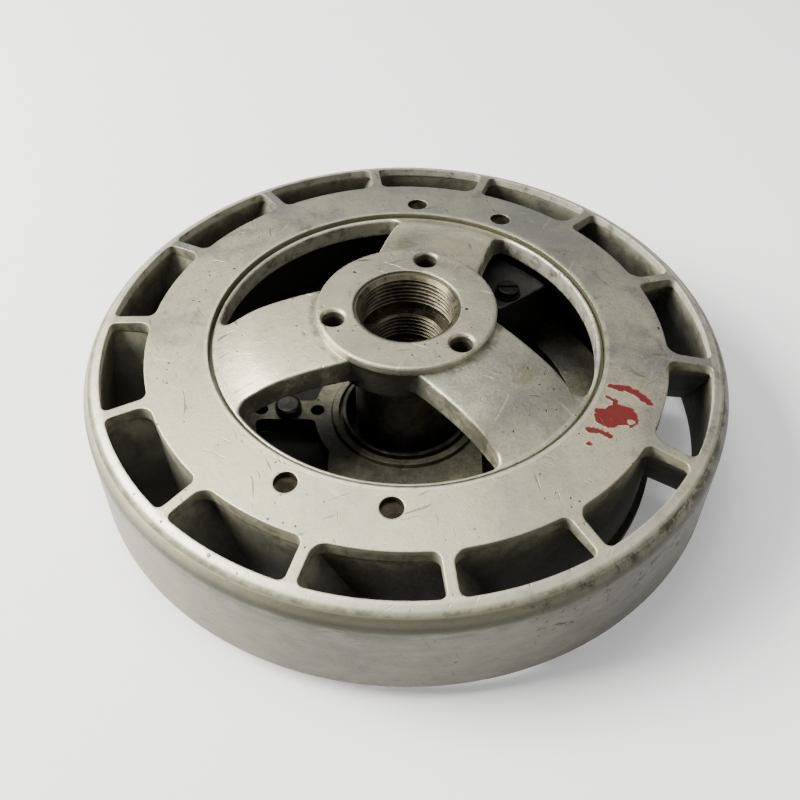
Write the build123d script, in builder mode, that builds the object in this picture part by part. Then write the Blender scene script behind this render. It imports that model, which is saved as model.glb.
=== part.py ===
"""Fan flywheel of a small air-cooled engine, with the armature plate that it turns around.

The axis of rotation is Z. Z = 0 is the lower edge of the drum, which the flywheel rests on, and the
hub flange is at the top. Two rigid groups: the flywheel turns, the armature plate stands still.
"""
import os
from math import cos, hypot, radians, sin, tan

from build123d import *

os.makedirs("parts", exist_ok=True)

# ---- driving dimensions, mm ------------------------------------------------------------------
EDGE_BAND = 0.1          # corners this near an outline's outer radius belong to it
# heights above the drum's lower edge
FACE_Z = 44.0            # annular face of the fan ring at its inner edge
FLANGE_TOP = 55.0        # machined face of the hub flange
BAND_BOTTOM = 6.7        # lower edge of the outer band
WINDOW_LIP_Z = 37.2      # underside of the slotted plate, where the blades start
SEAT_Z = 39.4            # joint between the fan ring and the spider's flange
RIM_UNDER_Z = 36.8       # underside of the spider's flange

# fan ring
OUTER_R = 100.0
FACE_SLOPE = 0.114       # the top face is a shallow cone that falls outwards
SHOULDER_R = 7.0         # rounding between the top face and the outer band
RING_INNER_R = 61.1      # inner edge of the annular face
WINDOW_IN_R = 80.6
WINDOW_OUT_R = 94.2
BAND_INNER_R = 94.5
DRUM_OUTER_R = 80.2
DRUM_INNER_R = 75.5
BEAD_R = 81.8            # bead round the drum's lower edge
BEAD_H = 3.4
BEAD_SLOPE_H = 1.0       # height over which the bead runs out into the wall
DRUM_DRAFT = 0.4         # by how much the drum wall is thinner at the bead
WINDOW_OVERCUT = 1.0     # the windows are cut from this far below the slotted plate
BLADE_LAP = 0.5          # how far a blade runs up into the slotted plate
BLADES = 14
BLADE_PITCH = 360 / BLADES
FIRST_BLADE = 97.8       # direction of the first rib, degrees
RIB_W = 3.1              # width of a rib between two windows
BLADE_T = 2.5
BLADE_LEAN = 30.0        # degrees from the axis
BLADE_END_Z = 9.0
BLADE_INSET = 1.2        # how far a blade runs into the drum wall
WINDOW_LEAD_CORNER_R = 4.4
WINDOW_TRAIL_CORNER_R = 2.6
WINDOW_OUTER_CORNER_R = 2.2
FOOT_R = 0.8             # rounding of the drum's lower edge

# spider
SPOKE_DIRECTION = 75.0   # first spoke, degrees
SPOKES = 3
SPOKE_HALF_W = 16.6
RIM_R = 59.9             # register that fits inside the fan ring
OPENING_R = 58.8         # outer edge of the openings between the spokes
FLANGE_R = 27.3
NECK_R = 25.4
SPIDER_OUTER_R = 74.9
HUB_UNDER_Z = 41.0
FLANGE_T = 2.8           # part of the flange that stands over the spokes
FLANGE_EDGE_R = 0.7
DOME_TOP = 52.5          # top and underside of the spokes where they meet the neck
DOME_UNDER = 44.2
DOME_FALL = 0.25         # mean fall of the spokes from the neck to the rim
RIM_TOP = 42.9
TOP_PROFILE = ((41, 50.4), (49, 47.9), (55.5, 44.4))          # radius and height on the way
UNDER_PROFILE = ((54, 37.9), (47, 41.2), (39, 43.2))
SEAM_FLOOR = 1.8         # floor of the seam groove above the joint with the fan ring
UNDER_R = 59.3           # where the spokes' underside meets the flat flange
EDGE_R = 0.8             # rounding of the openings' upper edges
NECK_CORNER_R = 6.5      # rounding of the openings at the neck, in plan
RIM_CORNER_R = 3.5       # rounding of the openings at the rim, in plan

# hub sleeve
SLEEVE_R = 16.4
SLEEVE_TOP = 54.3
SLEEVE_BOTTOM = 3.0
THREAD_PITCH = 1.5
PULLER_MINOR_R = 14.2    # M30 x 1.5
INNER_MINOR_R = 11.2     # M24 x 1.5
THREAD_DEPTH = 0.8
CRANK_BORE_R = 10.0
KEYWAY_W = 5.0
KEYWAY_DEPTH = 2.3
GROOVE_START = 0.2       # a V groove's upper edge, root and lower edge, in pitches below its crest
GROOVE_ROOT = 0.55
GROOVE_END = 0.9
MOUTH_DEPTH = 1.2        # bevel at the mouth of the puller thread
PULLER_RUNOUT = 3.0      # relief groove below the puller thread
INNER_LEAD = 0.6         # bevel at the mouth of the inner thread
INNER_RUNOUT = 2.0       # relief groove below the inner thread
RUNOUT_DEPTH = 1.0       # depth of both relief grooves
FOOT_CHAMFER = 0.8

# flange screw holes, M8
FLANGE_HOLE_PCR = 22.8
FLANGE_HOLE_R = 3.4
FLANGE_HOLE_DEPTH = 12.0
FLANGE_HOLE_MOUTH_R = 4.1

# magnets and pole shoes
POLE_AXIS = 74.3         # middle of the first magnet, degrees
RIVET_PCR = 67.6
RIVET_OFFSET = BLADE_PITCH / 2
RIVET_HEAD_R = 3.4
RIVET_SHANK_R = 2.3
RIVET_HEAD_SEAT = 40.6
RIVET_HEAD_TOP = 41.8
RIVET_HEAD_GAP = 0.1
SHOE_IN_R = 61.2
SHOE_OUT_R = 75.4
SHOE_HALF_ANGLE = 9.5
SHOE_BOTTOM = 12.0
MAGNET_IN_R = 62.2
MAGNET_RECESS = 0.5      # the magnets stand back from the shoes by this much at the foot

# armature plate
PLATE_R = 72.5
PLATE_BOTTOM = 2.0
PLATE_TOP = 8.0
COLLAR_IN_R = 19.7
COLLAR_OUT_R = 21.2
COLLAR_TOP = 10.0
RIDGE_IN_R = 22.3
RIDGE_OUT_R = 25.0
RIDGE_TOP = 9.2
RIDGE_TAPER = 25.0       # degrees
RIDGE_RECESS = 1.5       # depth of the recess inside the ridge, below the plate's face
COLLAR_CHAMFER = 0.3
PLATE_EDGE_R = 1.0
CUTOUT_CORNER_R = 2.0
BOLT_X = 39.3
SIDE_HOLE_IN_X = 29.5
SIDE_HOLE_OUT_X = 48.5
SIDE_HOLE_R = 2.3
BOLT_SHANK_R = 2.7
BOLT_HEAD_R = 4.4
BOLT_HEAD_H = 3.2
BOLT_HEAD_EDGE_R = 1.4
BOLT_END = 1.0           # how far the screws stand out under the plate

# ignition coil
COIL_DIRECTION = 55.0
COIL_IN_R = 38.0
COIL_OUT_R = 59.0
COIL_BOTTOM = 9.0
COIL_TOP = 34.0
CORE_TIP_R = 60.6
CORE_BOTTOM = 14.5
CORE_TOP = 27.5


def face_height(radius):
    """Height of the fan ring's conical top face at a radius."""
    return FACE_Z - FACE_SLOPE * (radius - RING_INNER_R)


def polar(radius, angle):
    """Point in the XY plane from a radius and an angle in degrees."""
    return (radius * cos(radians(angle)), radius * sin(radians(angle)))


def ring_sector(inner, outer, start, end):
    """Sketch of a ring sector between two radii and two directions."""
    middle = (start + end) / 2
    with BuildSketch() as sector:
        with BuildLine():
            Line(polar(inner, start), polar(outer, start))
            ThreePointArc(polar(outer, start), polar(outer, middle), polar(outer, end))
            Line(polar(outer, end), polar(inner, end))
            ThreePointArc(polar(inner, end), polar(inner, middle), polar(inner, start))
        make_face()
    return sector.sketch


def finish(builder, label):
    """Name a finished piece and write it."""
    builder.part.label = label
    export_step(builder.part, f"parts/{label}.step")


# ---- fan ring: slotted plate, outer band, drum wall and blades in one casting -----------------
RIB_DIRECTIONS = [FIRST_BLADE - BLADE_PITCH * n for n in range(BLADES)]
RIVET_DIRECTIONS = [POLE_AXIS + turn + side * RIVET_OFFSET for turn in (0, 180) for side in (-1, 1)]
BLADE_DROP = WINDOW_LIP_Z - BLADE_END_Z
BLADE_SHIFT = BLADE_DROP * tan(radians(BLADE_LEAN))

with BuildSketch() as window:
    # one window, centred on the X axis; its sides are parallel to the ribs beside it
    add(ring_sector(WINDOW_IN_R, WINDOW_OUT_R, -BLADE_PITCH / 2, BLADE_PITCH / 2))
    with PolarLocations(0, 2, start_angle=-BLADE_PITCH / 2, angular_range=BLADE_PITCH, endpoint=True):
        Rectangle(2 * OUTER_R, RIB_W, mode=Mode.SUBTRACT)
    inner_corners = window.vertices().sort_by(Axis.X)[:2].sort_by(Axis.Y)
    fillet(inner_corners[0], WINDOW_LEAD_CORNER_R)
    inner_corner = window.vertices().filter_by(lambda v: v.Y > 0).sort_by(Axis.X)[0]
    fillet(inner_corner, WINDOW_TRAIL_CORNER_R)
    outer_corners = window.vertices().filter_by(lambda v: hypot(v.X, v.Y) > WINDOW_OUT_R - EDGE_BAND)
    fillet(outer_corners, WINDOW_OUTER_CORNER_R)

with BuildPart() as fan_ring:
    with BuildSketch(Plane.XZ) as ring_section:
        with BuildLine():
            Polyline(
                (RING_INNER_R, SEAT_Z),
                (RING_INNER_R, FACE_Z),
                (OUTER_R, face_height(OUTER_R)),
                (OUTER_R, BAND_BOTTOM),
                (BAND_INNER_R, BAND_BOTTOM),
                (BAND_INNER_R, WINDOW_LIP_Z),
                (DRUM_OUTER_R, WINDOW_LIP_Z),
                (DRUM_OUTER_R - DRUM_DRAFT, BEAD_H + BEAD_SLOPE_H),
                (BEAD_R, BEAD_H),
                (BEAD_R, 0),
                (DRUM_INNER_R, 0),
                (DRUM_INNER_R, SEAT_Z),
                close=True,
            )
        make_face()
        shoulder = ring_section.vertices().sort_by_distance((OUTER_R, face_height(OUTER_R), 0))[0]
        fillet(shoulder, SHOULDER_R)
        foot = ring_section.vertices().group_by(Axis.Y)[0]
        fillet(foot, FOOT_R)
    revolve(axis=Axis.Z)
    with BuildSketch(Plane.XY.offset(WINDOW_LIP_Z - WINDOW_OVERCUT)):
        with PolarLocations(0, BLADES, start_angle=FIRST_BLADE + BLADE_PITCH / 2):
            add(window.sketch)
    extrude(amount=FACE_Z, mode=Mode.SUBTRACT)
    for direction in RIB_DIRECTIONS:
        blade_plane = Plane(
            origin=(*polar(DRUM_INNER_R + BLADE_INSET, direction), 0),
            x_dir=(-sin(radians(direction)), cos(radians(direction)), 0),
            z_dir=(cos(radians(direction)), sin(radians(direction)), 0),
        )
        with BuildSketch(blade_plane):
            with BuildLine():
                Polyline(
                    (-BLADE_T / 2, WINDOW_LIP_Z + BLADE_LAP),
                    (BLADE_T / 2, WINDOW_LIP_Z + BLADE_LAP),
                    (BLADE_T / 2, WINDOW_LIP_Z),
                    (BLADE_T / 2 + BLADE_SHIFT, BLADE_END_Z),
                    (-BLADE_T / 2 + BLADE_SHIFT, BLADE_END_Z),
                    (-BLADE_T / 2, WINDOW_LIP_Z),
                    close=True,
                )
            make_face()
        extrude(amount=BAND_INNER_R - DRUM_INNER_R - BLADE_INSET / 2)
    with BuildSketch(Plane.XY.offset(RIVET_HEAD_SEAT)):
        for direction in RIVET_DIRECTIONS:
            with Locations(polar(RIVET_PCR, direction)):
                Circle(RIVET_HEAD_R)
    extrude(amount=FACE_Z - RIVET_HEAD_SEAT, mode=Mode.SUBTRACT)
    with BuildSketch(Plane.XY.offset(SEAT_Z)):
        for direction in RIVET_DIRECTIONS:
            with Locations(polar(RIVET_PCR, direction)):
                Circle(RIVET_SHANK_R)
    extrude(amount=RIVET_HEAD_SEAT - SEAT_Z, mode=Mode.SUBTRACT)
finish(fan_ring, "fan_ring")


# ---- spider: hub, three domed spokes and the register that carries the fan ring ---------------
def threaded_wall(minor, top, turns):
    """Points down a threaded bore, one V groove per turn, from its top edge."""
    points = []
    for turn in range(turns):
        crest = top - turn * THREAD_PITCH
        points.append((minor, crest))
        points.append((minor, crest - GROOVE_START * THREAD_PITCH))
        points.append((minor + THREAD_DEPTH, crest - GROOVE_ROOT * THREAD_PITCH))
        points.append((minor, crest - GROOVE_END * THREAD_PITCH))
    return points


HALF_PITCH = 180 / SPOKES                               # degrees from a spoke to an opening's middle
APEX = SPOKE_HALF_W / sin(radians(HALF_PITCH))          # where the sides of two spokes meet
REACH = 1.4 * OPENING_R                                 # long enough to pass the rim
REACH_X = APEX + REACH * cos(radians(HALF_PITCH))
REACH_Y = REACH * sin(radians(HALF_PITCH))
with BuildSketch() as opening:
    # one opening between two spokes, centred on the X axis
    with BuildLine():
        Polyline((APEX, 0), (REACH_X, REACH_Y), (REACH_X, -REACH_Y), close=True)
    make_face()
    Circle(OPENING_R, mode=Mode.INTERSECT)
    Circle(NECK_R, mode=Mode.SUBTRACT)
    fillet(opening.vertices().filter_by(lambda v: v.X < NECK_R), NECK_CORNER_R)
    fillet(opening.vertices().filter_by(lambda v: hypot(v.X, v.Y) > OPENING_R - EDGE_BAND), RIM_CORNER_R)

spoke_x = (cos(radians(SPOKE_DIRECTION)), sin(radians(SPOKE_DIRECTION)), 0)
spoke_plane = Plane(origin=(0, 0, 0), x_dir=spoke_x, z_dir=(spoke_x[1], -spoke_x[0], 0))


def upper_edge(edge):
    """True for the upper edges of the openings between the spokes."""
    centre = edge.center()
    radius = hypot(centre.X, centre.Y)
    middle = (DOME_TOP + DOME_UNDER) / 2 - DOME_FALL * (radius - NECK_R)
    on_opening = FLANGE_R < radius < OPENING_R + EDGE_R / 2
    return on_opening and centre.Z > middle and edge.geom_type != GeomType.LINE


with BuildPart() as spider:
    with BuildSketch(spoke_plane):
        with BuildLine():
            Spline((NECK_R, DOME_TOP), *TOP_PROFILE, (RIM_R, RIM_TOP))
            Polyline(
                (RIM_R, RIM_TOP),
                (RIM_R, SEAT_Z + SEAM_FLOOR),
                (RING_INNER_R, SEAT_Z + SEAM_FLOOR),
                (RING_INNER_R, SEAT_Z),
                (SPIDER_OUTER_R, SEAT_Z),
                (SPIDER_OUTER_R, RIM_UNDER_Z),
                (UNDER_R, RIM_UNDER_Z),
            )
            Spline((UNDER_R, RIM_UNDER_Z), *UNDER_PROFILE, (NECK_R, DOME_UNDER))
            Line((NECK_R, DOME_UNDER), (NECK_R, DOME_TOP))
        make_face()
    revolve(axis=Axis.Z)
    with BuildSketch():
        with PolarLocations(0, SPOKES, start_angle=SPOKE_DIRECTION + HALF_PITCH):
            add(opening.sketch)
    extrude(amount=FLANGE_TOP, mode=Mode.SUBTRACT)
    fillet(spider.edges().filter_by(upper_edge), EDGE_R)
    with BuildSketch(spoke_plane):
        Polygon(
            (SLEEVE_R, HUB_UNDER_Z),
            (SLEEVE_R, FLANGE_TOP),
            (FLANGE_R, FLANGE_TOP),
            (FLANGE_R, FLANGE_TOP - FLANGE_T),
            (NECK_R, FLANGE_TOP - FLANGE_T),
            (NECK_R, HUB_UNDER_Z),
            align=None,
        )
    revolve(axis=Axis.Z)
    face_edges = spider.edges().group_by(Axis.Z)[-1]
    fillet(face_edges.sort_by(SortBy.LENGTH)[-1], FLANGE_EDGE_R)
    with Locations((0, 0, FLANGE_TOP)):
        with PolarLocations(FLANGE_HOLE_PCR, SPOKES, start_angle=SPOKE_DIRECTION):
            CounterSinkHole(FLANGE_HOLE_R, FLANGE_HOLE_MOUTH_R, depth=FLANGE_HOLE_DEPTH, counter_sink_angle=90)
    with BuildSketch(Plane.XY.offset(RIM_UNDER_Z)):
        for direction in RIVET_DIRECTIONS:
            with Locations(polar(RIVET_PCR, direction)):
                Circle(RIVET_SHANK_R)
    extrude(amount=SEAT_Z - RIM_UNDER_Z, mode=Mode.SUBTRACT)
finish(spider, "spider")

# ---- hub sleeve: steel, cast into the spider; puller thread, nut thread and crankshaft bore ----
PULLER_TURNS = 6
INNER_TURNS = 5
PULLER_TOP = SLEEVE_TOP - MOUTH_DEPTH
PULLER_END = PULLER_TOP - PULLER_TURNS * THREAD_PITCH
SHOULDER_Z = PULLER_END - PULLER_RUNOUT
INNER_END = SHOULDER_Z - INNER_TURNS * THREAD_PITCH
BORE_TOP = INNER_END - INNER_RUNOUT

with BuildPart() as hub_sleeve:
    with BuildSketch(Plane.XZ):
        with BuildLine():
            Polyline(
                (SLEEVE_R, SLEEVE_BOTTOM),
                (SLEEVE_R, SLEEVE_TOP),
                (PULLER_MINOR_R + MOUTH_DEPTH, SLEEVE_TOP),
                *threaded_wall(PULLER_MINOR_R, PULLER_TOP, PULLER_TURNS),
                (PULLER_MINOR_R, PULLER_END),
                (PULLER_MINOR_R + RUNOUT_DEPTH, PULLER_END),
                (PULLER_MINOR_R + RUNOUT_DEPTH, SHOULDER_Z),
                (INNER_MINOR_R + INNER_LEAD, SHOULDER_Z),
                *threaded_wall(INNER_MINOR_R, SHOULDER_Z - INNER_LEAD, INNER_TURNS),
                (INNER_MINOR_R, INNER_END - INNER_LEAD),
                (INNER_MINOR_R + RUNOUT_DEPTH, INNER_END - INNER_LEAD),
                (INNER_MINOR_R + RUNOUT_DEPTH, BORE_TOP),
                (CRANK_BORE_R, BORE_TOP),
                (CRANK_BORE_R, SLEEVE_BOTTOM),
                close=True,
            )
        make_face()
    revolve(axis=Axis.Z)
    with BuildSketch(Plane.XY.offset(SLEEVE_BOTTOM)):
        with Locations(((CRANK_BORE_R + KEYWAY_DEPTH) / 2, 0)):
            Rectangle(CRANK_BORE_R + KEYWAY_DEPTH, KEYWAY_W)
    extrude(amount=BORE_TOP - SLEEVE_BOTTOM, mode=Mode.SUBTRACT)
    foot_edges = hub_sleeve.edges().filter_by(GeomType.CIRCLE).group_by(Axis.Z)[0]
    chamfer(foot_edges.sort_by(SortBy.RADIUS)[-1], FOOT_CHAMFER)
finish(hub_sleeve, "hub_sleeve")

# ---- rivets through the fan ring, the spider's flange and the pole shoes -----------------------
FORMED_HEAD_R = 3.7
FORMED_HEAD_H = 1.5
with BuildPart() as ring_rivets:
    for direction in RIVET_DIRECTIONS:
        with BuildSketch(Plane.XY.offset(SHOE_BOTTOM - FORMED_HEAD_H)):
            with Locations(polar(RIVET_PCR, direction)):
                Circle(FORMED_HEAD_R)
        extrude(amount=FORMED_HEAD_H)
        with BuildSketch(Plane.XY.offset(SHOE_BOTTOM)):
            with Locations(polar(RIVET_PCR, direction)):
                Circle(RIVET_SHANK_R)
        extrude(amount=RIVET_HEAD_SEAT - SHOE_BOTTOM)
        with BuildSketch(Plane.XY.offset(RIVET_HEAD_SEAT)):
            with Locations(polar(RIVET_PCR, direction)):
                Circle(RIVET_HEAD_R - RIVET_HEAD_GAP)
        extrude(amount=RIVET_HEAD_TOP - RIVET_HEAD_SEAT)
finish(ring_rivets, "ring_rivets")

# ---- four pole shoes, each held by one rivet, with a magnet between the two of each pair -------
for number, direction in enumerate(RIVET_DIRECTIONS, start=1):
    with BuildPart() as pole_shoe:
        with BuildSketch(Plane.XY.offset(SHOE_BOTTOM)):
            start = direction - SHOE_HALF_ANGLE
            add(ring_sector(SHOE_IN_R, SHOE_OUT_R, start, direction + SHOE_HALF_ANGLE))
            with Locations(polar(RIVET_PCR, direction)):
                Circle(RIVET_SHANK_R, mode=Mode.SUBTRACT)
        extrude(amount=RIM_UNDER_Z - SHOE_BOTTOM)
    finish(pole_shoe, f"pole_shoe_{number}")

MAGNET_HALF_ANGLE = RIVET_OFFSET - SHOE_HALF_ANGLE
for number, direction in enumerate((POLE_AXIS, POLE_AXIS + 180), start=1):
    with BuildPart() as magnet:
        with BuildSketch(Plane.XY.offset(SHOE_BOTTOM + MAGNET_RECESS)):
            start = direction - MAGNET_HALF_ANGLE
            add(ring_sector(MAGNET_IN_R, SHOE_OUT_R, start, direction + MAGNET_HALF_ANGLE))
        extrude(amount=RIM_UNDER_Z - SHOE_BOTTOM - MAGNET_RECESS)
    finish(magnet, f"magnet_{number}")

# ---- armature plate: still, inside the open end of the drum -----------------------------------
ARM_HALF_W = 24.7        # arms towards +Y and -Y
BOLT_ARM_HALF_W = 4.3    # arms towards +X and -X
CUTOUT_IN_R = 30.5
CUTOUT_FRONT_R = 50.0
CUTOUT_BACK_R = 57.0
CUTOUT_END_Y = 34.0
COIL_SCREW_PCR = 45.5
COIL_SCREW_OFFSET = 13.0
COIL_SCREW_R = 2.1
COIL_PAD_R = 6.5
COIL_SCREW_DIRECTIONS = (COIL_DIRECTION - COIL_SCREW_OFFSET, COIL_DIRECTION + COIL_SCREW_OFFSET)


def cutout(outer_r, side, back):
    """Sketch of one lightening hole of the plate, in the quadrant given by two signs."""
    with BuildSketch() as hole:
        Circle(outer_r)
        width = outer_r - ARM_HALF_W
        height = CUTOUT_END_Y - BOLT_ARM_HALF_W
        with Locations((side * (ARM_HALF_W + width / 2), back * (BOLT_ARM_HALF_W + height / 2))):
            Rectangle(width, height, mode=Mode.INTERSECT)
        Circle(CUTOUT_IN_R, mode=Mode.SUBTRACT)
        fillet(hole.vertices(), CUTOUT_CORNER_R)
    return hole.sketch


with BuildPart() as armature_plate:
    with BuildSketch(Plane.XY.offset(PLATE_BOTTOM)):
        Circle(PLATE_R)
    extrude(amount=PLATE_TOP - PLATE_BOTTOM)
    fillet(armature_plate.edges().filter_by(GeomType.CIRCLE), PLATE_EDGE_R)
    with BuildSketch(Plane.XY.offset(PLATE_TOP)):
        Circle(RIDGE_OUT_R)
    extrude(amount=RIDGE_TOP - PLATE_TOP, taper=RIDGE_TAPER)
    with BuildSketch(Plane.XY.offset(PLATE_BOTTOM)):
        Circle(COLLAR_OUT_R)
    extrude(amount=COLLAR_TOP, mode=Mode.SUBTRACT)
    with BuildSketch(Plane.XY.offset(PLATE_TOP - RIDGE_RECESS)):
        Circle(RIDGE_IN_R)
    extrude(amount=COLLAR_TOP, mode=Mode.SUBTRACT)
    with BuildSketch(Plane.XY.offset(PLATE_BOTTOM)):
        for side in (-1, 1):
            add(cutout(CUTOUT_FRONT_R, side, -1))
            add(cutout(CUTOUT_BACK_R, side, 1))
            with Locations((side * BOLT_X, 0)):
                Circle(BOLT_SHANK_R)
            with Locations((side * SIDE_HOLE_IN_X, 0), (side * SIDE_HOLE_OUT_X, 0)):
                Circle(SIDE_HOLE_R)
    extrude(amount=PLATE_TOP - PLATE_BOTTOM, mode=Mode.SUBTRACT)
    with BuildSketch(Plane.XY.offset(PLATE_BOTTOM)):
        for direction in COIL_SCREW_DIRECTIONS:
            with Locations(polar(COIL_SCREW_PCR, direction)):
                Circle(COIL_PAD_R)
    extrude(amount=COIL_BOTTOM - PLATE_BOTTOM)
    with BuildSketch(Plane.XY.offset(PLATE_BOTTOM)):
        for direction in COIL_SCREW_DIRECTIONS:
            with Locations(polar(COIL_SCREW_PCR, direction)):
                Circle(COIL_SCREW_R)
    extrude(amount=COIL_BOTTOM - PLATE_BOTTOM, mode=Mode.SUBTRACT)
finish(armature_plate, "armature_plate")

with BuildPart() as collar_bush:
    with BuildSketch(Plane.XY.offset(PLATE_BOTTOM)):
        Circle(COLLAR_OUT_R)
        Circle(COLLAR_IN_R, mode=Mode.SUBTRACT)
    extrude(amount=COLLAR_TOP - PLATE_BOTTOM)
    chamfer(collar_bush.edges().group_by(Axis.Z)[-1], COLLAR_CHAMFER)
finish(collar_bush, "collar_bush")

with BuildPart() as plate_screws:
    with BuildSketch(Plane.XY.offset(PLATE_BOTTOM - BOLT_END)):
        with Locations((-BOLT_X, 0), (BOLT_X, 0)):
            Circle(BOLT_SHANK_R)
    extrude(amount=PLATE_TOP - PLATE_BOTTOM + BOLT_END)
    with BuildSketch(Plane.XY.offset(PLATE_TOP)):
        with Locations((-BOLT_X, 0), (BOLT_X, 0)):
            Circle(BOLT_HEAD_R)
    extrude(amount=BOLT_HEAD_H)
    fillet(plate_screws.edges().group_by(Axis.Z)[-1], BOLT_HEAD_EDGE_R)
finish(plate_screws, "plate_screws")

# ---- ignition coil on its laminated core ------------------------------------------------------
BAR_IN_R = 42.0
BAR_OUT_R = 49.0
CORE_HALF_ANGLE = 17.0
TIP_HALF_ANGLE = 4.0
BLOCK_HALF_ANGLE = 18.5
WINDING_HALF_ANGLE = 6.5
LEG_LAP = 1.0            # how far the core's legs run into its bar
BLOCK_CORNER_R = 1.0
BLOCK_EDGE_R = 0.8

with BuildSketch() as core_outline:
    start = COIL_DIRECTION - CORE_HALF_ANGLE
    end = COIL_DIRECTION + CORE_HALF_ANGLE
    add(ring_sector(BAR_IN_R, BAR_OUT_R, start, end))
    add(ring_sector(BAR_OUT_R - LEG_LAP, CORE_TIP_R, start, start + 2 * TIP_HALF_ANGLE))
    add(ring_sector(BAR_OUT_R - LEG_LAP, CORE_TIP_R, end - 2 * TIP_HALF_ANGLE, end))

PRIMARY_T = 1.3          # thickness of the primary winding round the core
WINDING_T = 3.0          # primary and secondary together


def winding(thickness):
    """Solid around the middle of the core, reaching a thickness beyond it on every side."""
    start = COIL_DIRECTION - WINDING_HALF_ANGLE
    with BuildPart() as body:
        with BuildSketch(Plane.XY.offset(CORE_BOTTOM - thickness)):
            end = COIL_DIRECTION + WINDING_HALF_ANGLE
            add(ring_sector(BAR_IN_R - thickness, BAR_OUT_R + thickness, start, end))
        extrude(amount=CORE_TOP - CORE_BOTTOM + 2 * thickness)
    return body.part


with BuildSketch() as coil_screw_holes:
    for direction in COIL_SCREW_DIRECTIONS:
        with Locations(polar(COIL_SCREW_PCR, direction)):
            Circle(COIL_SCREW_R)

with BuildPart() as coil_core:
    with BuildSketch(Plane.XY.offset(CORE_BOTTOM)):
        add(core_outline.sketch)
        add(coil_screw_holes.sketch, mode=Mode.SUBTRACT)
    extrude(amount=CORE_TOP - CORE_BOTTOM)
finish(coil_core, "coil_core")

with BuildPart() as primary_winding:
    add(winding(PRIMARY_T))
    add(coil_core.part, mode=Mode.SUBTRACT)
finish(primary_winding, "primary_winding")

with BuildPart() as secondary_winding:
    add(winding(WINDING_T))
    add(winding(PRIMARY_T), mode=Mode.SUBTRACT)
    add(coil_core.part, mode=Mode.SUBTRACT)
finish(secondary_winding, "secondary_winding")

with BuildPart() as coil_block:
    with BuildSketch(Plane.XY.offset(COIL_BOTTOM)):
        start = COIL_DIRECTION - BLOCK_HALF_ANGLE
        add(ring_sector(COIL_IN_R, COIL_OUT_R, start, COIL_DIRECTION + BLOCK_HALF_ANGLE))
    extrude(amount=COIL_TOP - COIL_BOTTOM)
    fillet(coil_block.edges().filter_by(Axis.Z), BLOCK_CORNER_R)
    fillet(coil_block.edges().group_by(Axis.Z)[-1], BLOCK_EDGE_R)
    with BuildSketch(Plane.XY.offset(CORE_BOTTOM)):
        add(core_outline.sketch)
    extrude(amount=CORE_TOP - CORE_BOTTOM, mode=Mode.SUBTRACT)
    add(winding(WINDING_T), mode=Mode.SUBTRACT)
    with BuildSketch(Plane.XY.offset(COIL_BOTTOM)):
        add(coil_screw_holes.sketch)
    extrude(amount=COIL_TOP - COIL_BOTTOM, mode=Mode.SUBTRACT)
finish(coil_block, "coil_block")

WASHER_R = 4.3
WASHER_T = 1.0
with BuildPart() as coil_washers:
    with BuildSketch(Plane.XY.offset(COIL_TOP)):
        for direction in COIL_SCREW_DIRECTIONS:
            with Locations(polar(COIL_SCREW_PCR, direction)):
                Circle(WASHER_R)
        add(coil_screw_holes.sketch, mode=Mode.SUBTRACT)
    extrude(amount=WASHER_T)
finish(coil_washers, "coil_washers")

SCREW_HEAD_R = 3.8
SCREW_HEAD_H = 2.2
SCREW_HEAD_EDGE_R = 0.8
SLOT_W = 1.1
SLOT_DEPTH = 0.9
SCREW_SEAT = COIL_TOP + WASHER_T
with BuildPart() as coil_screws:
    with BuildSketch(Plane.XY.offset(PLATE_BOTTOM)):
        add(coil_screw_holes.sketch)
    extrude(amount=SCREW_SEAT - PLATE_BOTTOM)
    with BuildSketch(Plane.XY.offset(SCREW_SEAT)):
        for direction in COIL_SCREW_DIRECTIONS:
            with Locations(polar(COIL_SCREW_PCR, direction)):
                Circle(SCREW_HEAD_R)
    extrude(amount=SCREW_HEAD_H)
    fillet(coil_screws.edges().group_by(Axis.Z)[-1], SCREW_HEAD_EDGE_R)
    with BuildSketch(Plane.XY.offset(SCREW_SEAT + SCREW_HEAD_H - SLOT_DEPTH)):
        for direction in COIL_SCREW_DIRECTIONS:
            with Locations(polar(COIL_SCREW_PCR, direction)):
                Rectangle(3 * SCREW_HEAD_R, SLOT_W)
    extrude(amount=SCREW_HEAD_H, mode=Mode.SUBTRACT)
finish(coil_screws, "coil_screws")

TERMINAL_T = 0.8
TERMINAL_W = 6.3
TERMINAL_L = 8.0
TERMINAL_Z = 21.0
TERMINAL_GAP = 0.14      # the block's inner side curves towards the tab's two edges
terminal_plane = Plane(
    origin=(*polar(COIL_IN_R - TERMINAL_GAP, COIL_DIRECTION), TERMINAL_Z),
    x_dir=(-sin(radians(COIL_DIRECTION)), cos(radians(COIL_DIRECTION)), 0),
    z_dir=(-cos(radians(COIL_DIRECTION)), -sin(radians(COIL_DIRECTION)), 0),
)
with BuildPart() as coil_terminal:
    with BuildSketch(terminal_plane):
        Rectangle(TERMINAL_W, TERMINAL_T)
    extrude(amount=TERMINAL_L)
finish(coil_terminal, "coil_terminal")
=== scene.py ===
"""Looks of a cast-aluminium fan flywheel lying on its drum, with the armature plate inside it.

All positions are in metres in the frame of the CAD part; materials work in millimetres.
"""

import bpy
from mathutils import Matrix, Vector

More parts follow.
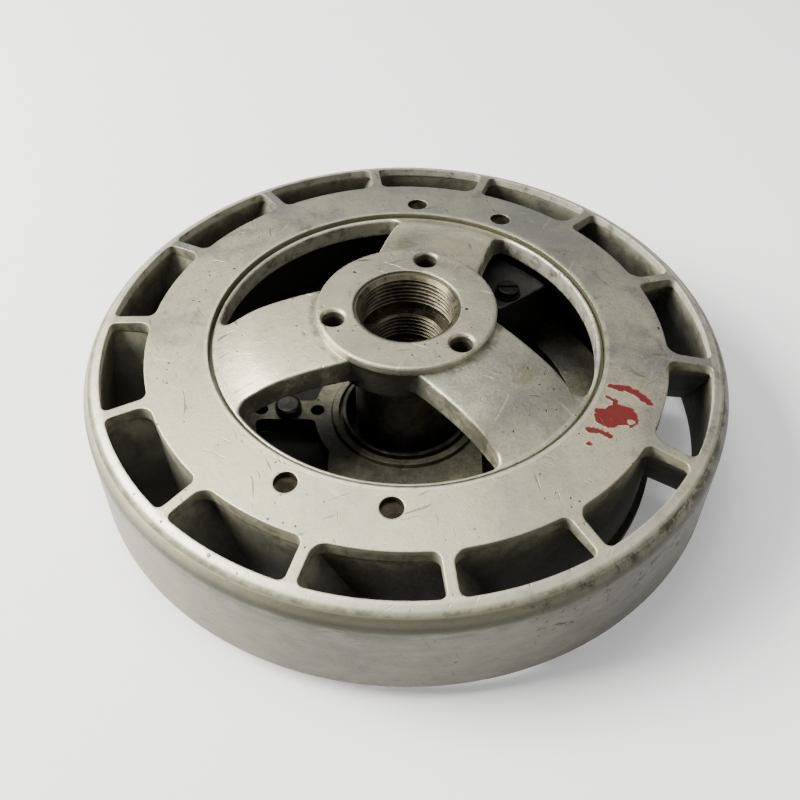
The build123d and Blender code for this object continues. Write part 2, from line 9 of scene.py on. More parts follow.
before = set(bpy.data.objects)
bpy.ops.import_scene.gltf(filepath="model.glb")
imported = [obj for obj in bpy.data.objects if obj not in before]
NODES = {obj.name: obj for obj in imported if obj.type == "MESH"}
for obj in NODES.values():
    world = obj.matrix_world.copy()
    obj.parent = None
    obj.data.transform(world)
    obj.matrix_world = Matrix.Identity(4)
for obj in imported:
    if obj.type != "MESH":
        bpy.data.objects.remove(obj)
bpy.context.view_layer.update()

# ---- camera ---------------------------------------------------------------------------------
CAMERA_AT = Vector((0.0, -0.23180, 0.25875))
CAMERA_FORWARD = Vector((-0.00564, 0.68665, -0.72697))
CAMERA_UP = Vector((-0.01188, 0.72688, 0.68666))
CAMERA_LENS = 45.78      # millimetres, as is the sensor
CAMERA_SENSOR = 36.0

camera = bpy.data.objects.new("camera", bpy.data.cameras.new("camera"))
bpy.context.scene.collection.objects.link(camera)
right = CAMERA_FORWARD.cross(CAMERA_UP).normalized()
up = right.cross(CAMERA_FORWARD).normalized()
turn = Matrix((right, up, -CAMERA_FORWARD.normalized())).transposed()
camera.matrix_world = Matrix.Translation(CAMERA_AT) @ turn.to_4x4()
camera.data.lens = CAMERA_LENS
camera.data.sensor_width = CAMERA_SENSOR
camera.data.clip_start = 0.01
camera.data.clip_end = 20
bpy.context.scene.camera = camera


# ---- the part's own radii and heights, in millimetres, where its finishes change -----------------
RIM_INNER_R = 61.1
RIM_SEAT_Z = 39.4
WINDOW_FLOOR_Z = 36.0
DRUM_INNER_R = 75.5
WINDOW_OUTER_R = 94.3
BAND_R = 100.0
REGISTER_R = 59.9
OPENING_R = 58.8
FLANGE_R = 27.3
FLANGE_UNDER_Z = 52.2
FLANGE_TOP_Z = 55.0
RIVET_CIRCLE_R = 67.6
PULLER_CREST_R = 14.2
NUT_CREST_R = 11.2

SCRATCH_LEVEL = 0.735    # noise level above which a scratch shows
SCRATCH_SPACING = 1.2
BEVEL_SAMPLES = 6


# ---- helpers for node materials ---------------------------------------------------------------
class Graph:
    """A material's node tree, built by short calls that take sockets or numbers."""

    def __init__(self, name):
        self.material = bpy.data.materials.new(name)
        self.material.use_nodes = True
        self.tree = self.material.node_tree
        self.tree.nodes.clear()
        output = self.tree.nodes.new("ShaderNodeOutputMaterial")
        self.shader = self.tree.nodes.new("ShaderNodeBsdfPrincipled")
        self.tree.links.new(self.shader.outputs[0], output.inputs[0])
        coords = self.tree.nodes.new("ShaderNodeTexCoord")
        self.mm = self.vmath("SCALE", coords.outputs["Object"], scale=1000)
        parts = self.tree.nodes.new("ShaderNodeSeparateXYZ")
        self.tree.links.new(self.mm, parts.inputs[0])
        self.x, self.y, self.z = parts.outputs
        facing = self.tree.nodes.new("ShaderNodeSeparateXYZ")
        self.tree.links.new(coords.outputs["Normal"], facing.inputs[0])
        self.facing_up = facing.outputs[2]
        self.r = self.math("SQRT", self.add(self.mul(self.x, self.x), self.mul(self.y, self.y)))

    def put(self, socket, value):
        if isinstance(value, bpy.types.NodeSocket):
            self.tree.links.new(value, socket)
        elif value is not None:
            socket.default_value = value

    def math(self, operation, a, b=None, clamp=False):
        node = self.tree.nodes.new("ShaderNodeMath")
        node.operation = operation
        node.use_clamp = clamp
        self.put(node.inputs[0], a)
        self.put(node.inputs[1], b)
        return node.outputs[0]

    def add(self, a, b):
        return self.math("ADD", a, b)

    def sub(self, a, b):
        return self.math("SUBTRACT", a, b)

    def mul(self, a, b):
        return self.math("MULTIPLY", a, b)

    def most(self, a, b):
        return self.math("MAXIMUM", a, b)

    def invert(self, a):
        return self.math("SUBTRACT", 1.0, a, clamp=True)

    def vmath(self, operation, a, b=None, scale=None):
        node = self.tree.nodes.new("ShaderNodeVectorMath")
        node.operation = operation
        self.put(node.inputs[0], a)
        if b is not None:
            self.put(node.inputs[1], b)
        if scale is not None:
            node.inputs["Scale"].default_value = scale
        return node.outputs["Value"] if operation == "DOT_PRODUCT" else node.outputs[0]

    def vector(self, x, y, z):
        node = self.tree.nodes.new("ShaderNodeCombineXYZ")
        for socket, value in zip(node.inputs, (x, y, z)):
            self.put(socket, value)
        return node.outputs[0]

    def step(self, value, low, high, to_low=0.0, to_high=1.0):
        """Smooth ramp from to_low at low to to_high at high."""
        node = self.tree.nodes.new("ShaderNodeMapRange")
        node.interpolation_type = "SMOOTHSTEP"
        self.put(node.inputs["Value"], value)
        node.inputs["From Min"].default_value = low
        node.inputs["From Max"].default_value = high
        node.inputs["To Min"].default_value = to_low
        node.inputs["To Max"].default_value = to_high
        return node.outputs[0]

    def band(self, value, low, high, soft):
        """1 between low and high, fading over soft on both sides."""
        return self.mul(self.step(value, low - soft, low), self.step(value, high, high + soft, 1.0, 0.0))

    def noise(self, size, detail=3.0, rough=0.55, vector=None, warp=0.0):
        """Noise whose features are about size millimetres."""
        node = self.tree.nodes.new("ShaderNodeTexNoise")
        node.inputs["Scale"].default_value = 1.0 / size
        node.inputs["Detail"].default_value = detail
        node.inputs["Roughness"].default_value = rough
        node.inputs["Distortion"].default_value = warp
        self.put(node.inputs["Vector"], vector if vector is not None else self.mm)
        return node.outputs[0]

    def cells(self, size, vector):
        """Distance to the nearest of scattered points, and a colour that differs from one to the next."""
        node = self.tree.nodes.new("ShaderNodeTexVoronoi")
        node.inputs["Scale"].default_value = 1.0 / size
        self.put(node.inputs["Vector"], vector)
        return node.outputs["Distance"], node.outputs["Color"]

    def mix(self, amount, a, b):
        node = self.tree.nodes.new("ShaderNodeMix")
        node.data_type = "RGBA"
        self.put(node.inputs["Factor"], amount)
        for socket, value in zip((s for s in node.inputs if s.type == "RGBA"), (a, b)):
            self.put(socket, (*value, 1.0) if isinstance(value, tuple) else value)
        return next(s for s in node.outputs if s.type == "RGBA")

    def scratches(self, vector, turn, seed, length, share):
        """Fine straight scratches along one direction of the first two coordinates."""
        node = self.tree.nodes.new("ShaderNodeVectorRotate")
        node.rotation_type = "Z_AXIS"
        node.inputs["Angle"].default_value = turn
        self.put(node.inputs["Vector"], vector)
        bent = self.vmath("ADD", node.outputs[0], self.vmath("SCALE", self.colour_noise(14.0), scale=5.0))
        stretched = self.vmath("MULTIPLY", bent, (1 / length, 1 / SCRATCH_SPACING, 0.02))
        moved = self.vmath("ADD", stretched, (seed * 3.7, seed * 11.3, seed * 1.9))
        field = self.noise(1.0, 1.0, 0.4, moved)
        level = SCRATCH_LEVEL - 0.06 * share
        lines = self.step(field, level, level + 0.04)
        return self.mul(lines, self.step(self.noise(11.0 + seed % 5, 2.0), 0.46, 0.60))

    def colour_noise(self, size):
        """Three independent noises at once."""
        node = self.tree.nodes.new("ShaderNodeTexNoise")
        node.inputs["Scale"].default_value = 1.0 / size
        node.inputs["Detail"].default_value = 2.0
        self.put(node.inputs["Vector"], self.mm)
        return node.outputs[1]

    def bump(self, height, distance, under=None):
        node = self.tree.nodes.new("ShaderNodeBump")
        node.inputs["Strength"].default_value = 1.0
        node.inputs["Distance"].default_value = distance / 1000
        self.put(node.inputs["Height"], height)
        self.put(node.inputs["Normal"], under)
        return node.outputs[0]

    def soft_edge(self, radius):
        """Rounded-looking edges of this radius in millimetres."""
        node = self.tree.nodes.new("ShaderNodeBevel")
        node.samples = BEVEL_SAMPLES
        node.inputs["Radius"].default_value = radius / 1000
        return node.outputs[0]

    def finish(self, colour, rough, normal, metallic=1.0):
        self.put(self.shader.inputs["Base Color"], colour)
        self.put(self.shader.inputs["Roughness"], rough)
        self.put(self.shader.inputs["Metallic"], metallic)
        self.put(self.shader.inputs["Normal"], normal)
        return self.material


def dress(node, material):
    """Give a carried-over CAD node this material on every slot."""
    for place in NODES[node].material_slots:
        place.material = material


# ---- colours ----------------------------------------------------------------------------------
PALE_METAL = (0.56, 0.525, 0.37)
COOL_METAL = (0.270, 0.267, 0.240)
# dark grime; also the colour of painted shade in the rivet pockets, below the shoulder, on steep walls, in
# holes and on the plate
GRIME_AND_SHADE = (0.032, 0.031, 0.019)
OLIVE = (0.105, 0.104, 0.066)
SEAM_FILM = (0.25, 0.24, 0.16)
STAIN = (0.17, 0.15, 0.10)
BRIGHT_EDGE = (0.70, 0.68, 0.56)
# near black for pores and scuffs; also the colour of painted shade deep in the windows and drum, at the hub
# neck and on faces that face down
BLACK_AND_SHADE = (0.006, 0.0055, 0.0045)
PAINT = (0.115, 0.006, 0.005)
# painted shade for the outer band
BAND_SHADE = (0.046, 0.0445, 0.044)


def specks(g, size, radius, share, seed=0.0):
    """Small dark pits of uneven shape, share of the cells holding one."""
    wobble = g.vmath("SCALE", g.colour_noise(0.8), scale=0.55)
    place = g.vmath("ADD", g.vmath("ADD", g.mm, wobble), (seed, seed, seed))
    distance, shade = g.cells(size, place)
    near = g.step(distance, radius / size, 1.5 * radius / size, 1.0, 0.0)
    return g.mul(near, g.step(shade, 1 - share, 1.04 - share))


def cast_surface(g, fine=1.0):
    """Colour variation and relief shared by all the castings: patches, grain, pores, stains."""
    patches = g.noise(34.0, 4.0, 0.62, warp=0.3)
    blots = g.noise(7.0, 4.0, 0.68, warp=0.5)
    mottle = g.noise(2.3, 4.0, 0.72, warp=0.3)
    grain = g.noise(0.75 * fine, 3.0, 0.7)
    clusters = g.step(g.noise(16.0, 3.0, 0.6), 0.42, 0.62)
    colour = g.mix(g.step(patches, 0.36, 0.60), COOL_METAL, PALE_METAL)
    colour = g.mix(g.mul(g.step(blots, 0.48, 0.74), 0.42), colour, OLIVE)
    stains = g.mul(g.step(g.noise(9.0, 5.0, 0.75, warp=0.9), 0.55, 0.66), g.step(patches, 0.62, 0.44))
    colour = g.mix(g.mul(stains, 0.80), colour, STAIN)
    colour = g.mix(g.mul(g.step(mottle, 0.50, 0.72), 0.34), colour, COOL_METAL)
    colour = g.mix(g.mul(g.step(grain, 0.50, 0.70), 0.46), colour, GRIME_AND_SHADE)
    colour = g.mix(g.mul(g.step(grain, 0.44, 0.28), 0.24), colour, BRIGHT_EDGE)
    pore = g.mul(specks(g, 2.6, 0.26, 0.55), g.add(0.15, g.mul(clusters, 0.85)))
    pore = g.most(pore, specks(g, 8.0, 0.45, 0.40, 40.0))
    colour = g.mix(g.mul(pore, 0.85), colour, BLACK_AND_SHADE)
    return colour, grain, blots, pore


def scratch_set(g, vector, count, share, seed):
    """Several directions of fine scratches over each other; returns pale ones and dark ones."""
    pale = dark = None
    for index in range(count):
        turn = 0.35 + index * 2.39996
        lines = g.scratches(vector, turn, seed + index, 9.0 + 6 * (index % 3), share=share)
        if index % 2:
            dark = lines if dark is None else g.most(dark, lines)
        else:
            pale = lines if pale is None else g.most(pale, lines)
    return pale, dark


# ---- fan ring -----------------------------------------------------------------------------------
def capsule(g, vector, a, b, half):
    """Mask of a stroke from a to b in the XY plane, half wide to each side."""
    along = Vector((b[0] - a[0], b[1] - a[1], 0))
    length = max(along.length, 0.01)
    along.normalize()
    rel = g.vmath("SUBTRACT", vector, (a[0], a[1], 0))
    t = g.vmath("DOT_PRODUCT", rel, tuple(along))
    s = g.vmath("DOT_PRODUCT", rel, (-along.y, along.x, 0))
    t = g.sub(t, g.math("MINIMUM", g.math("MAXIMUM", t, 0.0), length))
    d = g.math("SQRT", g.add(g.mul(t, t), g.mul(s, s)))
    return g.step(d, half - 0.25, half + 0.25, 1.0, 0.0)


PAINT_STROKES = (
    ((60.2, -21.9), (62.2, -22.4), 0.9),
    ((62.2, -22.4), (65.3, -22.4), 1.3),
    ((65.3, -22.4), (67.8, -23.9), 1.3),
    ((67.8, -23.9), (71.0, -27.2), 1.3),
    ((57.6, -34.4), (61.6, -33.6), 3.6),
    ((61.4, -33.0), (63.0, -33.4), 4.2),
    ((55.2, -31.9), (57.0, -33.4), 1.0),
    ((58.9, -26.6), (61.0, -27.8), 0.6),
    ((61.0, -27.8), (60.7, -30.0), 0.8),
    ((51.9, -39.0), (54.5, -39.4), 1.0),
    ((55.4, -39.6), (57.8, -41.0), 0.9),
    ((51.4, -44.2), (51.7, -44.2), 0.7),
)
PAINT_CHIPS = (
    ((61.0, -37.2), (63.6, -37.0), 0.35),
    ((64.4, -35.2), (65.0, -35.2), 0.8),
)


def fan_ring_material():
    g = Graph("cast_aluminium_ring")
    colour, grain, blots, pore = cast_surface(g)
    angle = g.math("ARCTAN2", g.y, g.x)
    unrolled = g.vector(g.mul(angle, BAND_R), g.z, g.mul(g.r, 0.1))
    on_top = g.mul(g.step(g.facing_up, 0.75, 0.93), g.step(g.z, 38.0, 39.5))
    on_band = g.mul(g.step(g.r, 96.5, 98.5), g.step(g.facing_up, 0.25, 0.65, 1.0, 0.0))
    pale_top, dark_top = scratch_set(g, g.mm, 4, 0.5, 1)
    pale_band, dark_band = scratch_set(g, unrolled, 4, 0.6, 9)
    pale = g.most(g.mul(pale_top, on_top), g.mul(pale_band, on_band))
    dark = g.most(g.mul(dark_top, on_top), g.mul(dark_band, on_band))

    # the studio's light is deepened here: the face is paler towards the front left and cooler far off
    side = g.add(g.mul(g.x, -0.35), g.mul(g.y, -0.93))
    colour = g.mix(g.mul(g.step(side, -20.0, 80.0), 0.65), colour, PALE_METAL)
    colour = g.mix(g.mul(g.step(side, 0.0, -80.0), 0.60), colour, COOL_METAL)
    colour = g.mix(g.mul(pale, 0.30), colour, BRIGHT_EDGE)
    colour = g.mix(g.mul(dark, 0.45), colour, GRIME_AND_SHADE)

    # painted shade on the walls of the four pockets that hold the rivets' heads
    pocket_ring = g.mul(g.band(g.r, RIVET_CIRCLE_R - 4.1, RIVET_CIRCLE_R + 4.2, 0.2), g.step(g.z, 40.0, 40.5))
    pocket = g.mul(g.step(g.facing_up, 0.75, 0.45), pocket_ring)
    colour = g.mix(g.mul(pocket, 0.9), colour, GRIME_AND_SHADE)

    # inside the windows and the drum: an olive film on the casting, under painted shade that gets blacker
    # downwards and in the drum below the seat
    inside = g.mul(g.band(g.r, 76.0, 97.8, 0.4), g.invert(on_top))
    inside = g.mul(inside, g.step(g.z, 39.6, 42.2, 1.0, 0.0))
    under_seat = g.step(g.z, RIM_SEAT_Z - 0.4, RIM_SEAT_Z + 0.2, 1.0, 0.0)
    drum = g.mul(g.step(g.r, DRUM_INNER_R + 0.4, DRUM_INNER_R + 0.7, 1.0, 0.0), under_seat)
    inside_film_and_shade = g.most(inside, drum)
    film_and_shade_colour = g.mix(g.step(g.noise(6.0, 5.0, 0.7, warp=0.6), 0.34, 0.60), OLIVE, SEAM_FILM)
    film_and_shade_colour = g.mix(g.mul(g.step(g.noise(1.4, 3.0, 0.7), 0.52, 0.72), 0.30), film_and_shade_colour, COOL_METAL)
    # painted shade: blacker downwards, and black in the drum below the seat
    deep = g.step(g.add(g.z, g.mul(g.noise(9.0, 3.0), 6.0)), 43.0, 34.0)
    film_and_shade_colour = g.mix(g.mul(deep, 0.78), film_and_shade_colour, BLACK_AND_SHADE)
    deeper = g.step(g.z, 30.0, 18.0)
    film_and_shade_colour = g.mix(g.mul(deeper, 0.90), film_and_shade_colour, BLACK_AND_SHADE)
    film_and_shade_colour = g.mix(g.mul(drum, 0.8), film_and_shade_colour, BLACK_AND_SHADE)
    colour = g.mix(g.mul(inside_film_and_shade, 0.97), colour, film_and_shade_colour)

    # olive film in the seam, a pale rubbed edge beside it, and a painted highlight on the rounded shoulder
    # where the face turns down
    seam = g.step(g.r, RIM_INNER_R + 0.1, RIM_INNER_R + 0.6, 1.0, 0.0)
    colour = g.mix(g.mul(seam, 0.85), colour, SEAM_FILM)
    rubbed_edge = g.band(g.r, RIM_INNER_R + 0.4, RIM_INNER_R + 1.1, 0.4)
    # painted highlight along the rounded shoulder
    shoulder = g.mul(g.band(g.r, WINDOW_OUTER_R, 96.2, 0.8), g.step(g.z, WINDOW_FLOOR_Z, 38.0))
    edge = g.mul(g.most(g.mul(rubbed_edge, on_top), shoulder), g.step(g.noise(5.0, 4.0, 0.7), 0.30, 0.55))
    colour = g.mix(g.mul(edge, 0.55), colour, BRIGHT_EDGE)

    # outer band: painted shade that darkens it, more away from the left; smeared along its length; a painted
    # dark reflection as a stripe below the shoulder; black scuffs; painted shade where the shoulder turns
    # down
    smear = g.noise(1.0, 4.0, 0.65, g.vector(g.mul(angle, 9.0), g.mul(g.z, 0.30), g.mul(g.r, 0.2)))
    # painted shade: the band is darkened, and more so away from the left, where the key light stands
    away = g.step(g.add(g.mul(g.x, 0.95), g.mul(g.y, -0.3)), -72.0, 20.0)
    colour = g.mix(g.mul(on_band, g.add(0.50, g.mul(away, 0.38))), colour, BAND_SHADE)
    colour = g.mix(g.mul(on_band, g.mul(g.step(smear, 0.64, 0.30), 0.14)), colour, COOL_METAL)
    # painted reflection: a dark stripe along the band below the shoulder
    stripe = g.mul(g.band(g.z, 31.8, 34.0, 2.4), g.step(smear, 0.30, 0.52))
    colour = g.mix(g.mul(on_band, g.mul(stripe, 0.35)), colour, GRIME_AND_SHADE)
    place = g.mul(g.band(angle, -1.20, -0.30, 0.1), g.band(g.z, 24.0, 36.0, 4.0))
    scuffs = g.mul(g.step(g.noise(4.5, 5.0, 0.78, unrolled, 0.6), 0.55, 0.60), place)
    scuffs = g.mul(scuffs, g.step(g.r, 96.5, 98.0))
    colour = g.mix(g.mul(scuffs, 0.9), colour, BLACK_AND_SHADE)
    bruised = g.mul(g.band(angle, -0.95, 0.10, 0.25), g.band(g.r, 97.9, 99.6, 0.7))
    bruises = g.mul(g.step(g.noise(5.0, 5.0, 0.75, warp=0.8), 0.42, 0.60), bruised)
    colour = g.mix(g.mul(bruises, g.mul(g.step(g.z, 34.0, 36.0), 0.9)), colour, BLACK_AND_SHADE)
    # painted shade where the shoulder turns down, deeper away from the left
    turned_down = g.mul(g.band(g.z, 34.5, 38.0, 1.8), g.step(g.r, 97.0, 98.6))
    turned_down = g.mul(turned_down, g.mul(g.add(0.40, g.mul(away, 0.60)), g.step(smear, 0.08, 0.40)))
    colour = g.mix(g.mul(turned_down, 0.75), colour, GRIME_AND_SHADE)

    pitted = g.mul(pore, g.most(on_top, g.mul(on_band, 0.5)))
    colour = g.mix(g.mul(pitted, 0.75), colour, GRIME_AND_SHADE)

    # red paint dabs on the face
    jitter = g.vmath("SCALE", g.vmath("SUBTRACT", g.colour_noise(1.6), (0.5, 0.5, 0.5)), scale=1.7)
    wobbly = g.vmath("ADD", g.mm, jitter)
    paint = None
    for a, b, half in PAINT_STROKES:
        mask = capsule(g, wobbly, a, b, half)
        paint = mask if paint is None else g.most(paint, mask)
    for a, b, half in PAINT_CHIPS:
        paint = g.mul(paint, g.invert(capsule(g, wobbly, a, b, half)))
    paint = g.mul(paint, on_top)
    colour = g.mix(paint, colour, g.mix(g.noise(3.0), PAINT, (0.085, 0.005, 0.004)))

    rough = g.add(0.34, g.mul(blots, 0.20))
    rough = g.add(rough, g.mul(grain, 0.12))
    rough = g.math("ADD", rough, g.mul(inside_film_and_shade, 0.22), clamp=True)
    height = g.add(g.mul(grain, 0.30), g.mul(pore, -1.0))
    height = g.sub(height, g.mul(g.most(pale, dark), 0.35))
    height = g.add(height, g.mul(g.noise(3.2, 3.0, 0.6), g.add(0.5, g.mul(inside_film_and_shade, 1.2))))
    height = g.add(height, g.mul(paint, 0.5))
    normal = g.bump(height, 0.13, g.soft_edge(0.7))
    metallic = g.math("SUBTRACT", 0.86, g.most(paint, g.mul(inside_film_and_shade, 0.70)), clamp=True)
    return g.finish(colour, rough, normal, metallic)


dress("fan_ring", fan_ring_material())


# ---- spider -------------------------------------------------------------------------------------
def spider_material():
    g = Graph("cast_aluminium_spider")
    colour, grain, blots, pore = cast_surface(g)
    pale, dark = scratch_set(g, g.mm, 6, 0.6, 20)
    machined = g.mul(g.step(g.z, FLANGE_TOP_Z - 0.6, FLANGE_TOP_Z - 0.2), g.step(g.facing_up, 0.8, 0.95))
    # painted light: the spider is paler towards the left, where the key light stands
    colour = g.mix(g.add(0.22, g.mul(g.step(g.x, 4.0, -30.0), 0.40)), colour, PALE_METAL)
    rings = g.noise(1.0, 1.0, 0.5, g.vector(g.mul(g.r, 2.2), 0.0, 0.0))
    colour = g.mix(g.mul(machined, 0.15), colour, PALE_METAL)
    colour = g.mix(g.mul(pale, 0.40), colour, BRIGHT_EDGE)
    colour = g.mix(g.mul(dark, 0.60), colour, GRIME_AND_SHADE)
    # dark film on the steep walls below the flange; its darkening is painted shade
    steep = g.mul(g.step(g.facing_up, 0.50, 0.80, 1.0, 0.0), g.step(g.z, 53.0, 52.0))
    film = g.mul(steep, g.step(g.noise(7.0, 4.0, 0.65), 0.24, 0.52))
    colour = g.mix(g.mul(film, 0.85), colour, GRIME_AND_SHADE)
    # painted shade: the hub neck under the flange is blackened
    neck = g.mul(g.step(g.r, 30.0, 26.5), g.step(g.z, FLANGE_UNDER_Z + 0.4, FLANGE_UNDER_Z - 0.6))
    colour = g.mix(g.mul(neck, 0.88), colour, BLACK_AND_SHADE)
    creep = g.mul(g.band(g.r, 26.5, 29.0, 1.6), g.step(g.noise(4.0, 4.0, 0.7), 0.40, 0.62))
    colour = g.mix(g.mul(g.mul(creep, g.step(g.z, 53.4, 52.8)), 0.6), colour, OLIVE)
    # painted shade on faces that face down
    under = g.step(g.facing_up, -0.5, 0.0, 1.0, 0.0)
    colour = g.mix(g.mul(under, 0.9), colour, BLACK_AND_SHADE)
    past_register = g.step(g.r, REGISTER_R - 0.2, REGISTER_R + 0.1)
    seam = g.mul(past_register, g.step(g.z, 42.8, 42.3))
    colour = g.mix(g.mul(seam, 0.9), colour, SEAM_FILM)
    rubbed = g.step(g.noise(4.0, 4.0, 0.7), 0.30, 0.55)
    lip = g.mul(g.band(g.r, OPENING_R - 0.2, REGISTER_R - 0.1, 0.4), rubbed)
    colour = g.mix(g.mul(lip, 0.45), colour, BRIGHT_EDGE)
    # painted shade in the holes inside the flange, darker deeper down
    within_flange = g.step(g.r, FLANGE_R - 0.1, FLANGE_R - 0.4)
    holes = g.mul(g.invert(machined), g.mul(within_flange, g.step(g.z, 42.0, FLANGE_TOP_Z - 0.6)))
    colour = g.mix(g.mul(holes, g.step(g.z, 54.6, 50.0, 0.3, 0.9)), colour, GRIME_AND_SHADE)
    colour = g.mix(g.mul(pore, 0.75), colour, GRIME_AND_SHADE)
    rough = g.add(0.34, g.mul(blots, 0.22))
    rough = g.math("ADD", rough, g.mul(g.most(under, film), 0.22), clamp=True)
    height = g.add(g.mul(grain, 0.30), g.mul(pore, -1.0))
    height = g.sub(height, g.mul(g.most(pale, dark), 0.35))
    height = g.add(height, g.mul(rings, g.mul(machined, 0.25)))
    height = g.add(height, g.mul(g.noise(4.0, 3.0, 0.6), g.invert(machined)))
    normal = g.bump(height, 0.14, g.soft_edge(1.0))
    metallic = g.math("SUBTRACT", 0.86, g.mul(g.most(under, film), 0.6), clamp=True)
    return g.finish(colour, rough, normal, metallic)


dress("spider", spider_material())


# ---- steel, iron and the small pieces -------------------------------------------------------------
def steel_material(name, base, dark, film, bevel=0.2):
    """Turned steel with fine rings round the axis and an oily film."""
    g = Graph(name)
    rings = g.noise(1.0, 2.0, 0.6, g.vector(g.mul(g.r, 0.7), g.mul(g.z, 2.6), 0.0))
    patches = g.noise(5.0, 4.0, 0.65, warp=0.5)
    specks = g.noise(0.6, 3.0, 0.7)
    colour = g.mix(g.step(patches, 0.35, 0.65), dark, base)
    colour = g.mix(g.mul(g.step(specks, 0.56, 0.74), 0.5), colour, film)
    rough = g.add(0.28, g.mul(patches, 0.26))
    height = g.add(g.mul(rings, 0.6), g.mul(specks, 0.4))
    return g.finish(colour, rough, g.bump(height, 0.06, g.soft_edge(bevel)), 0.9)


def sleeve_material():
    """Black oily outside, brown film in the threads, pale crests and top ring."""
    g = Graph("sleeve_steel")
    patches = g.noise(5.0, 4.0, 0.65, warp=0.5)
    specks_small = g.noise(0.6, 3.0, 0.7)
    colour = g.mix(g.step(patches, 0.35, 0.65), (0.060, 0.057, 0.050), (0.130, 0.120, 0.100))
    bore = g.step(g.r, 15.9, 15.5)
    thread = g.mix(g.step(patches, 0.40, 0.62), (0.034, 0.029, 0.018), (0.120, 0.104, 0.066))
    colour = g.mix(bore, colour, thread)
    puller_crest = g.band(g.r, PULLER_CREST_R - 0.1, PULLER_CREST_R + 0.1, 0.1)
    nut_crest = g.band(g.r, NUT_CREST_R - 0.1, NUT_CREST_R + 0.1, 0.1)
    crest = g.mul(g.most(puller_crest, nut_crest), g.step(g.z, 32.0, 34.0))
    colour = g.mix(g.mul(crest, 0.40), colour, (0.24, 0.215, 0.155))
    top = g.mul(g.step(g.z, 54.0, 54.25), g.step(g.facing_up, 0.8, 0.95))
    colour = g.mix(g.mul(top, g.step(patches, 0.25, 0.55)), colour, (0.12, 0.115, 0.075))
    colour = g.mix(g.mul(g.step(specks_small, 0.56, 0.74), 0.4), colour, BLACK_AND_SHADE)
    rings = g.noise(1.0, 2.0, 0.6, g.vector(g.mul(g.r, 0.7), g.mul(g.z, 2.6), 0.0))
    height = g.add(g.mul(rings, 0.5), g.mul(specks_small, 0.5))
    return g.finish(colour, g.add(0.30, g.mul(patches, 0.25)), g.bump(height, 0.06, g.soft_edge(0.2)), 0.8)


def cast_plate_material():
    g = Graph("cast_plate")
    colour, grain, blots, pore = cast_surface(g, 1.3)
    film = g.step(g.noise(11.0, 4.0, 0.65, warp=0.5), 0.34, 0.60)
    # painted shade: the whole plate is darkened, as it lies in the shade under the spider
    colour = g.mix(0.35, colour, GRIME_AND_SHADE)
    colour = g.mix(g.mul(film, 0.55), colour, OLIVE)
    # painted shade on the faces that don't face up
    up = g.step(g.facing_up, 0.7, 0.9)
    colour = g.mix(g.mul(g.invert(up), 0.7), colour, GRIME_AND_SHADE)
    height = g.add(g.noise(1.8, 4.0, 0.7), g.mul(pore, -0.6))
    rough = g.add(0.45, g.mul(blots, 0.2))
    return g.finish(colour, rough, g.bump(height, 0.30, g.soft_edge(0.5)), 0.8)


def moulded_material():
    g = Graph("moulded_resin")
    texture = g.noise(0.7, 3.0, 0.6)
    dust = g.step(g.noise(5.0, 4.0, 0.7, warp=0.7), 0.48, 0.72)
    colour = g.mix(g.mul(dust, 0.5), (0.006, 0.0055, 0.005), (0.030, 0.027, 0.020))
    rough = g.add(0.42, g.mul(dust, 0.3))
    return g.finish(colour, rough, g.bump(texture, 0.08, g.soft_edge(0.5)), 0.0)


def wire_material():
    g = Graph("enamelled_wire")
    turns = g.noise(1.0, 1.0, 0.5, g.vector(0.0, 0.0, g.mul(g.z, 3.2)))
    colour = g.mix(turns, (0.30, 0.11, 0.04), (0.55, 0.24, 0.10))
    return g.finish(colour, 0.35, g.bump(turns, 0.2), 0.8)


def laminated_material():
    g = Graph("laminated_iron")
    leaves = g.noise(1.0, 0.0, 0.5, g.vector(0.0, 0.0, g.mul(g.z, 2.0)))
    rust = g.step(g.noise(2.5, 4.0, 0.7), 0.5, 0.72)
    colour = g.mix(g.mul(rust, 0.6), (0.10, 0.095, 0.09), (0.12, 0.055, 0.03))
    return g.finish(colour, g.add(0.4, g.mul(rust, 0.3)), g.bump(leaves, 0.25), 0.7)


shoes = steel_material("shoe_iron", (0.09, 0.08, 0.07), (0.035, 0.03, 0.025), (0.07, 0.045, 0.025))
screws = steel_material("screw_steel", (0.14, 0.135, 0.115), (0.07, 0.065, 0.052), (0.03, 0.025, 0.02), 0.3)
bush = steel_material("bush_steel", (0.17, 0.16, 0.125), (0.10, 0.094, 0.07), (0.04, 0.035, 0.025), 0.3)
rivets = steel_material(
    "rivet_heads", (0.055, 0.046, 0.028), (0.020, 0.016, 0.010), (0.018, 0.014, 0.010), 0.3
)
coil_steel = steel_material(
    "coil_screw_steel", (0.030, 0.028, 0.024), (0.014, 0.013, 0.011), (0.02, 0.015, 0.010), 0.3
)
brass = steel_material("terminal_brass", (0.50, 0.37, 0.15), (0.30, 0.21, 0.09), (0.10, 0.07, 0.03), 0.1)
FINISHES = {
    "hub_sleeve": sleeve_material(),
    "ring_rivets": rivets,
    "pole_shoe_1": shoes,
    "pole_shoe_2": shoes,
    "pole_shoe_3": shoes,
    "pole_shoe_4": shoes,
    "magnet_1": shoes,
    "magnet_2": shoes,
    "armature_plate": cast_plate_material(),
    "collar_bush": bush,
    "plate_screws": screws,
    "coil_screws": coil_steel,
    "coil_washers": coil_steel,
    "coil_core": laminated_material(),
    "primary_winding": wire_material(),
    "secondary_winding": wire_material(),
    "coil_block": moulded_material(),
    "coil_terminal": brass,
}
for node, finish in FINISHES.items():
    dress(node, finish)

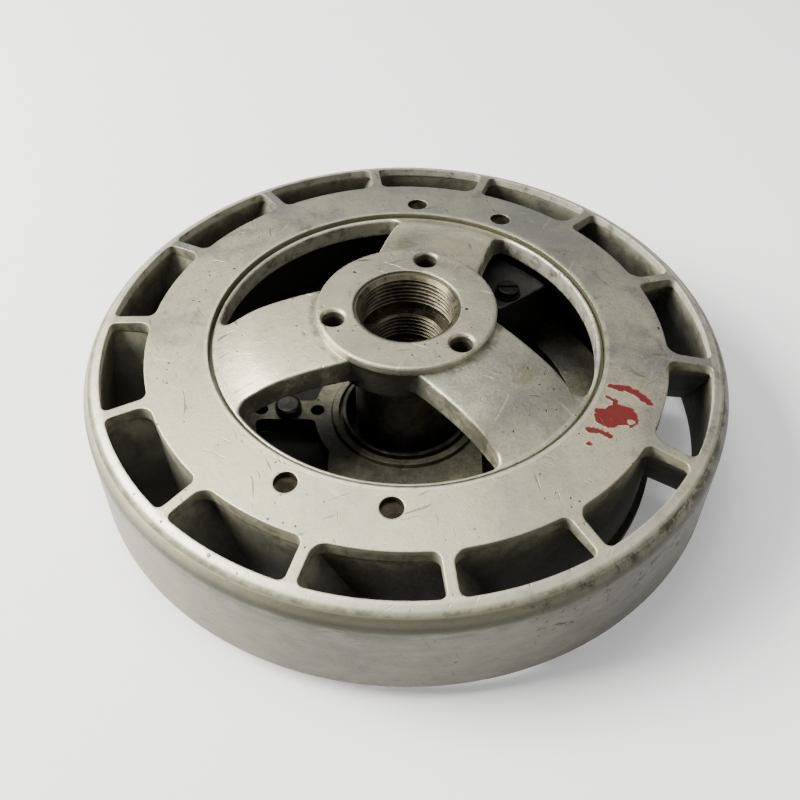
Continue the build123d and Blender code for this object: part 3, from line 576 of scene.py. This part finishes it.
# ---- floor and light ------------------------------------------------------------------------------
FLOOR_GLOW = 0.22        # only outside the drum
FLOOR_DROP = 0.0002      # metres under the part, so that the two don't share a plane
# painted shadow on the floor inside the drum
FLOOR_SHADOW = (0.05, 0.048, 0.042)
bpy.ops.mesh.primitive_plane_add(size=12, location=(0, 0, -FLOOR_DROP))
floor = bpy.context.object
floor.name = "floor"
floor_graph = Graph("floor")
tone = floor_graph.noise(400.0, 2.0)
floor_colour = floor_graph.mix(tone, (0.97, 0.97, 0.97), (0.98, 0.98, 0.98))
# painted shadow: the floor is dark inside the drum, so that the openings show black
inside_drum = floor_graph.step(floor_graph.r, DRUM_INNER_R - 1.5, DRUM_INNER_R - 5.5)
floor_colour = floor_graph.mix(inside_drum, floor_colour, FLOOR_SHADOW)
floor.data.materials.append(floor_graph.finish(floor_colour, 0.9, None, 0.0))
floor_graph.shader.inputs["Emission Color"].default_value = (1.0, 1.0, 1.0, 1.0)
outside_drum = floor_graph.step(floor_graph.r, DRUM_INNER_R - 1.5, DRUM_INNER_R + 4.5)
glow = floor_graph.mul(outside_drum, FLOOR_GLOW)
floor_graph.put(floor_graph.shader.inputs["Emission Strength"], glow)

world = bpy.data.worlds.new("studio")
bpy.context.scene.world = world
world.use_nodes = True
world.node_tree.nodes["Background"].inputs["Color"].default_value = (1.0, 1.0, 1.0, 1.0)
world.node_tree.nodes["Background"].inputs["Strength"].default_value = 0.22


LIGHTS_AIM = Vector((0.0, 0.0, 0.03))
WARM = (1.0, 0.975, 0.93)
COOL = (0.99, 0.99, 1.0)
WHITE = (1.0, 1.0, 1.0)


def soft_light(name, at, size, power, colour):
    """Square area light of this size in metres, aimed at the middle of the part."""
    light = bpy.data.lights.new(name, "AREA")
    light.size = size
    light.energy = power
    light.color = colour
    holder = bpy.data.objects.new(name, light)
    bpy.context.scene.collection.objects.link(holder)
    holder.location = at
    holder.rotation_euler = (LIGHTS_AIM - Vector(at)).to_track_quat("-Z", "Y").to_euler()


soft_light("key", (-0.98, 0.0, 0.80), 0.7, 52.0, WARM)
soft_light("top", (-0.25, 0.25, 1.3), 0.7, 10.0, COOL)
soft_light("fill", (0.95, -0.35, 0.8), 0.9, 3.5, WHITE)
